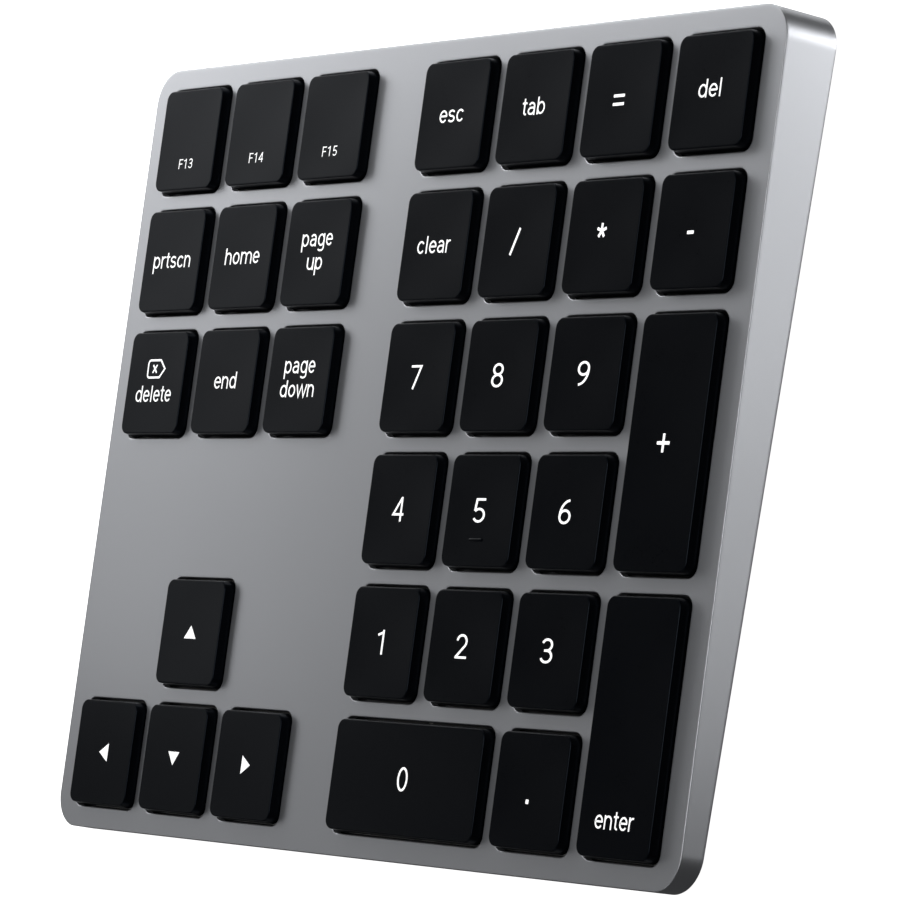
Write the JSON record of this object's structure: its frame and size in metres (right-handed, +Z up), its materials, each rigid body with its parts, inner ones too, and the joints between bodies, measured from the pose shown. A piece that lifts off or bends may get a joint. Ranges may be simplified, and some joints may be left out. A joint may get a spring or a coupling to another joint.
{
  "type": "wireless numeric keypad",
  "caption": "Low-profile wireless keypad in a wedge-shaped aluminium case, with a number block, a navigation block and a USB-C charging inlet.",
  "frame": {"origin": "on the floor under the middle of the case's outline, at the height of the feet's undersides", "axes": "+X to the right across the keypad, +Y to the back edge with the charging inlet, +Z up; the deck slopes up to the back by 2.6 degrees"},
  "size_m": [0.1492, 0.1152, 0.0107],
  "materials": {
    "anodised_aluminium": "fine bead-blasted, space-grey anodised",
    "key_plastic": "fine matte black, slight sheen",
    "cover_plastic": "fine spark-eroded texture, dark grey",
    "foot_rubber": "matte",
    "steel_screw": "zinc-plated",
    "plate_steel": "stamped, plated",
    "membrane_film": "black printed polyester film",
    "tail_film": "amber polyimide film",
    "dome_silicone": "satin silicone",
    "scissor_plastic": "natural acetal",
    "wire_steel": "spring steel wire",
    "board_laminate": "green solder mask",
    "connector_plastic": "cream",
    "shield_metal": "tinned",
    "inlet_steel": "satin nickel",
    "inlet_plastic": "black",
    "switch_plastic": "black",
    "light_plastic": "frosted clear",
    "battery_foil": "satin foil pouch",
    "lead_insulation": "red"
  },
  "bodies": {
    "root": {"top_case": "anodised_aluminium", "bottom_cover": "cover_plastic", "rubber_feet": "foot_rubber", "cover_screws": "steel_screw", "support_plate": "plate_steel", "plate_screws": "steel_screw", "switch_membrane": "membrane_film", "membrane_tail": "tail_film", "rubber_domes": "dome_silicone", "scissor_outer_frames": "scissor_plastic", "scissor_inner_frames": "scissor_plastic", "main_board": "board_laminate", "board_screws": "steel_screw", "board_connectors": "connector_plastic", "radio_module": "shield_metal", "usb_c_shell": "inlet_steel", "usb_c_tongue": "inlet_plastic", "power_switch_body": "switch_plastic", "status_led": "light_plastic", "light_pipe": "light_plastic", "battery_cell": "battery_foil", "battery_lead": "lead_insulation"},
    "key_f13": {"key_f13": "key_plastic"},
    "key_f14": {"key_f14": "key_plastic"},
    "key_f15": {"key_f15": "key_plastic"},
    "key_escape": {"key_escape": "key_plastic"},
    "key_tab": {"key_tab": "key_plastic"},
    "key_equals": {"key_equals": "key_plastic"},
    "key_del": {"key_del": "key_plastic"},
    "key_print_screen": {"key_print_screen": "key_plastic"},
    "key_home": {"key_home": "key_plastic"},
    "key_page_up": {"key_page_up": "key_plastic"},
    "key_clear": {"key_clear": "key_plastic"},
    "key_divide": {"key_divide": "key_plastic"},
    "key_multiply": {"key_multiply": "key_plastic"},
    "key_minus": {"key_minus": "key_plastic"},
    "key_delete": {"key_delete": "key_plastic"},
    "key_end": {"key_end": "key_plastic"},
    "key_page_down": {"key_page_down": "key_plastic"},
    "key_7": {"key_7": "key_plastic"},
    "key_8": {"key_8": "key_plastic"},
    "key_9": {"key_9": "key_plastic"},
    "key_plus": {"key_plus": "key_plastic"},
    "stabiliser_wire_plus": {"stabiliser_wire_plus": "wire_steel"},
    "key_4": {"key_4": "key_plastic"},
    "key_5": {"key_5": "key_plastic"},
    "key_6": {"key_6": "key_plastic"},
    "key_up": {"key_up": "key_plastic"},
    "key_1": {"key_1": "key_plastic"},
    "key_2": {"key_2": "key_plastic"},
    "key_3": {"key_3": "key_plastic"},
    "key_enter": {"key_enter": "key_plastic"},
    "stabiliser_wire_enter": {"stabiliser_wire_enter": "wire_steel"},
    "key_left": {"key_left": "key_plastic"},
    "key_down": {"key_down": "key_plastic"},
    "key_right": {"key_right": "key_plastic"},
    "key_0": {"key_0": "key_plastic"},
    "stabiliser_wire_0": {"stabiliser_wire_0": "wire_steel"},
    "key_point": {"key_point": "key_plastic"},
    "power_switch_knob": {"power_switch_knob": "switch_plastic"}
  },
  "joints": [
    {"name": "key_f13_press", "type": "slide", "parent": "root", "child": "key_f13", "axis": [0, 0.0452, -0.999], "range_m": [0, 0.0012], "stiffness_N_per_m": 400, "springref_m": -0.0003, "deforming": ["rubber_domes", "scissor_outer_frames", "scissor_inner_frames"]},
    {"name": "key_f14_press", "type": "slide", "parent": "root", "child": "key_f14", "axis": [0, 0.0452, -0.999], "range_m": [0, 0.0012], "stiffness_N_per_m": 400, "springref_m": -0.0003, "deforming": ["rubber_domes", "scissor_outer_frames", "scissor_inner_frames"]},
    {"name": "key_f15_press", "type": "slide", "parent": "root", "child": "key_f15", "axis": [0, 0.0452, -0.999], "range_m": [0, 0.0012], "stiffness_N_per_m": 400, "springref_m": -0.0003, "deforming": ["rubber_domes", "scissor_outer_frames", "scissor_inner_frames"]},
    {"name": "key_escape_press", "type": "slide", "parent": "root", "child": "key_escape", "axis": [0, 0.0452, -0.999], "range_m": [0, 0.0012], "stiffness_N_per_m": 400, "springref_m": -0.0003, "deforming": ["rubber_domes", "scissor_outer_frames", "scissor_inner_frames"]},
    {"name": "key_tab_press", "type": "slide", "parent": "root", "child": "key_tab", "axis": [0, 0.0452, -0.999], "range_m": [0, 0.0012], "stiffness_N_per_m": 400, "springref_m": -0.0003, "deforming": ["rubber_domes", "scissor_outer_frames", "scissor_inner_frames"]},
    {"name": "key_equals_press", "type": "slide", "parent": "root", "child": "key_equals", "axis": [0, 0.0452, -0.999], "range_m": [0, 0.0012], "stiffness_N_per_m": 400, "springref_m": -0.0003, "deforming": ["rubber_domes", "scissor_outer_frames", "scissor_inner_frames"]},
    {"name": "key_del_press", "type": "slide", "parent": "root", "child": "key_del", "axis": [0, 0.0452, -0.999], "range_m": [0, 0.0012], "stiffness_N_per_m": 400, "springref_m": -0.0003, "deforming": ["rubber_domes", "scissor_outer_frames", "scissor_inner_frames"]},
    {"name": "key_print_screen_press", "type": "slide", "parent": "root", "child": "key_print_screen", "axis": [0, 0.0452, -0.999], "range_m": [0, 0.0012], "stiffness_N_per_m": 400, "springref_m": -0.0003, "deforming": ["rubber_domes", "scissor_outer_frames", "scissor_inner_frames"]},
    {"name": "key_home_press", "type": "slide", "parent": "root", "child": "key_home", "axis": [0, 0.0452, -0.999], "range_m": [0, 0.0012], "stiffness_N_per_m": 400, "springref_m": -0.0003, "deforming": ["rubber_domes", "scissor_outer_frames", "scissor_inner_frames"]},
    {"name": "key_page_up_press", "type": "slide", "parent": "root", "child": "key_page_up", "axis": [0, 0.0452, -0.999], "range_m": [0, 0.0012], "stiffness_N_per_m": 400, "springref_m": -0.0003, "deforming": ["rubber_domes", "scissor_outer_frames", "scissor_inner_frames"]},
    {"name": "key_clear_press", "type": "slide", "parent": "root", "child": "key_clear", "axis": [0, 0.0452, -0.999], "range_m": [0, 0.0012], "stiffness_N_per_m": 400, "springref_m": -0.0003, "deforming": ["rubber_domes", "scissor_outer_frames", "scissor_inner_frames"]},
    {"name": "key_divide_press", "type": "slide", "parent": "root", "child": "key_divide", "axis": [0, 0.0452, -0.999], "range_m": [0, 0.0012], "stiffness_N_per_m": 400, "springref_m": -0.0003, "deforming": ["rubber_domes", "scissor_outer_frames", "scissor_inner_frames"]},
    {"name": "key_multiply_press", "type": "slide", "parent": "root", "child": "key_multiply", "axis": [0, 0.0452, -0.999], "range_m": [0, 0.0012], "stiffness_N_per_m": 400, "springref_m": -0.0003, "deforming": ["rubber_domes", "scissor_outer_frames", "scissor_inner_frames"]},
    {"name": "key_minus_press", "type": "slide", "parent": "root", "child": "key_minus", "axis": [0, 0.0452, -0.999], "range_m": [0, 0.0012], "stiffness_N_per_m": 400, "springref_m": -0.0003, "deforming": ["rubber_domes", "scissor_outer_frames", "scissor_inner_frames"]},
    {"name": "key_delete_press", "type": "slide", "parent": "root", "child": "key_delete", "axis": [0, 0.0452, -0.999], "range_m": [0, 0.0012], "stiffness_N_per_m": 400, "springref_m": -0.0003, "deforming": ["rubber_domes", "scissor_outer_frames", "scissor_inner_frames"]},
    {"name": "key_end_press", "type": "slide", "parent": "root", "child": "key_end", "axis": [0, 0.0452, -0.999], "range_m": [0, 0.0012], "stiffness_N_per_m": 400, "springref_m": -0.0003, "deforming": ["rubber_domes", "scissor_outer_frames", "scissor_inner_frames"]},
    {"name": "key_page_down_press", "type": "slide", "parent": "root", "child": "key_page_down", "axis": [0, 0.0452, -0.999], "range_m": [0, 0.0012], "stiffness_N_per_m": 400, "springref_m": -0.0003, "deforming": ["rubber_domes", "scissor_outer_frames", "scissor_inner_frames"]},
    {"name": "key_7_press", "type": "slide", "parent": "root", "child": "key_7", "axis": [0, 0.0452, -0.999], "range_m": [0, 0.0012], "stiffness_N_per_m": 400, "springref_m": -0.0003, "deforming": ["rubber_domes", "scissor_outer_frames", "scissor_inner_frames"]},
    {"name": "key_8_press", "type": "slide", "parent": "root", "child": "key_8", "axis": [0, 0.0452, -0.999], "range_m": [0, 0.0012], "stiffness_N_per_m": 400, "springref_m": -0.0003, "deforming": ["rubber_domes", "scissor_outer_frames", "scissor_inner_frames"]},
    {"name": "key_9_press", "type": "slide", "parent": "root", "child": "key_9", "axis": [0, 0.0452, -0.999], "range_m": [0, 0.0012], "stiffness_N_per_m": 400, "springref_m": -0.0003, "deforming": ["rubber_domes", "scissor_outer_frames", "scissor_inner_frames"]},
    {"name": "key_plus_press", "type": "slide", "parent": "root", "child": "key_plus", "axis": [0, 0.0452, -0.999], "range_m": [0, 0.0012], "stiffness_N_per_m": 450, "springref_m": -0.0003, "deforming": ["rubber_domes", "scissor_outer_frames", "scissor_inner_frames"]},
    {"name": "stabiliser_wire_plus_swing", "type": "hinge", "parent": "key_plus", "child": "stabiliser_wire_plus", "pos_m": [0.0562, -0.0002, 0.00689], "axis": [0, 0.999, 0.0452], "range_deg": [-11.8, 0]},
    {"name": "key_4_press", "type": "slide", "parent": "root", "child": "key_4", "axis": [0, 0.0452, -0.999], "range_m": [0, 0.0012], "stiffness_N_per_m": 400, "springref_m": -0.0003, "deforming": ["rubber_domes", "scissor_outer_frames", "scissor_inner_frames"]},
    {"name": "key_5_press", "type": "slide", "parent": "root", "child": "key_5", "axis": [0, 0.0452, -0.999], "range_m": [0, 0.0012], "stiffness_N_per_m": 400, "springref_m": -0.0003, "deforming": ["rubber_domes", "scissor_outer_frames", "scissor_inner_frames"]},
    {"name": "key_6_press", "type": "slide", "parent": "root", "child": "key_6", "axis": [0, 0.0452, -0.999], "range_m": [0, 0.0012], "stiffness_N_per_m": 400, "springref_m": -0.0003, "deforming": ["rubber_domes", "scissor_outer_frames", "scissor_inner_frames"]},
    {"name": "key_up_press", "type": "slide", "parent": "root", "child": "key_up", "axis": [0, 0.0452, -0.999], "range_m": [0, 0.0012], "stiffness_N_per_m": 400, "springref_m": -0.0003, "deforming": ["rubber_domes", "scissor_outer_frames", "scissor_inner_frames"]},
    {"name": "key_1_press", "type": "slide", "parent": "root", "child": "key_1", "axis": [0, 0.0452, -0.999], "range_m": [0, 0.0012], "stiffness_N_per_m": 400, "springref_m": -0.0003, "deforming": ["rubber_domes", "scissor_outer_frames", "scissor_inner_frames"]},
    {"name": "key_2_press", "type": "slide", "parent": "root", "child": "key_2", "axis": [0, 0.0452, -0.999], "range_m": [0, 0.0012], "stiffness_N_per_m": 400, "springref_m": -0.0003, "deforming": ["rubber_domes", "scissor_outer_frames", "scissor_inner_frames"]},
    {"name": "key_3_press", "type": "slide", "parent": "root", "child": "key_3", "axis": [0, 0.0452, -0.999], "range_m": [0, 0.0012], "stiffness_N_per_m": 400, "springref_m": -0.0003, "deforming": ["rubber_domes", "scissor_outer_frames", "scissor_inner_frames"]},
    {"name": "key_enter_press", "type": "slide", "parent": "root", "child": "key_enter", "axis": [0, 0.0452, -0.999], "range_m": [0, 0.0012], "stiffness_N_per_m": 450, "springref_m": -0.0003, "deforming": ["rubber_domes", "scissor_outer_frames", "scissor_inner_frames"]},
    {"name": "stabiliser_wire_enter_swing", "type": "hinge", "parent": "key_enter", "child": "stabiliser_wire_enter", "pos_m": [0.0562, -0.03716, 0.00522], "axis": [0, 0.999, 0.0452], "range_deg": [-11.8, 0]},
    {"name": "key_left_press", "type": "slide", "parent": "root", "child": "key_left", "axis": [0, 0.0452, -0.999], "range_m": [0, 0.0012], "stiffness_N_per_m": 400, "springref_m": -0.0003, "deforming": ["rubber_domes", "scissor_outer_frames", "scissor_inner_frames"]},
    {"name": "key_down_press", "type": "slide", "parent": "root", "child": "key_down", "axis": [0, 0.0452, -0.999], "range_m": [0, 0.0012], "stiffness_N_per_m": 400, "springref_m": -0.0003, "deforming": ["rubber_domes", "scissor_outer_frames", "scissor_inner_frames"]},
    {"name": "key_right_press", "type": "slide", "parent": "root", "child": "key_right", "axis": [0, 0.0452, -0.999], "range_m": [0, 0.0012], "stiffness_N_per_m": 400, "springref_m": -0.0003, "deforming": ["rubber_domes", "scissor_outer_frames", "scissor_inner_frames"]},
    {"name": "key_0_press", "type": "slide", "parent": "root", "child": "key_0", "axis": [0, 0.0452, -0.999], "range_m": [0, 0.0012], "stiffness_N_per_m": 450, "springref_m": -0.0003, "deforming": ["rubber_domes", "scissor_outer_frames", "scissor_inner_frames"]},
    {"name": "stabiliser_wire_0_swing", "type": "hinge", "parent": "key_0", "child": "stabiliser_wire_0", "pos_m": [0.0146, -0.04051, 0.00507], "axis": [1, 0, 0], "range_deg": [-11.8, 0]},
    {"name": "key_point_press", "type": "slide", "parent": "root", "child": "key_point", "axis": [0, 0.0452, -0.999], "range_m": [0, 0.0012], "stiffness_N_per_m": 400, "springref_m": -0.0003, "deforming": ["rubber_domes", "scissor_outer_frames", "scissor_inner_frames"]},
    {"name": "power_switch_slide", "type": "slide", "parent": "root", "child": "power_switch_knob", "axis": [1, 0, 0], "range_m": [0, 0.002]}
  ],
  "couplings": [
    {"joint": "stabiliser_wire_plus_swing", "follows": "key_plus_press", "rad_per_m": -168.88},
    {"joint": "stabiliser_wire_enter_swing", "follows": "key_enter_press", "rad_per_m": -168.88},
    {"joint": "stabiliser_wire_0_swing", "follows": "key_0_press", "rad_per_m": -168.88}
  ]
}
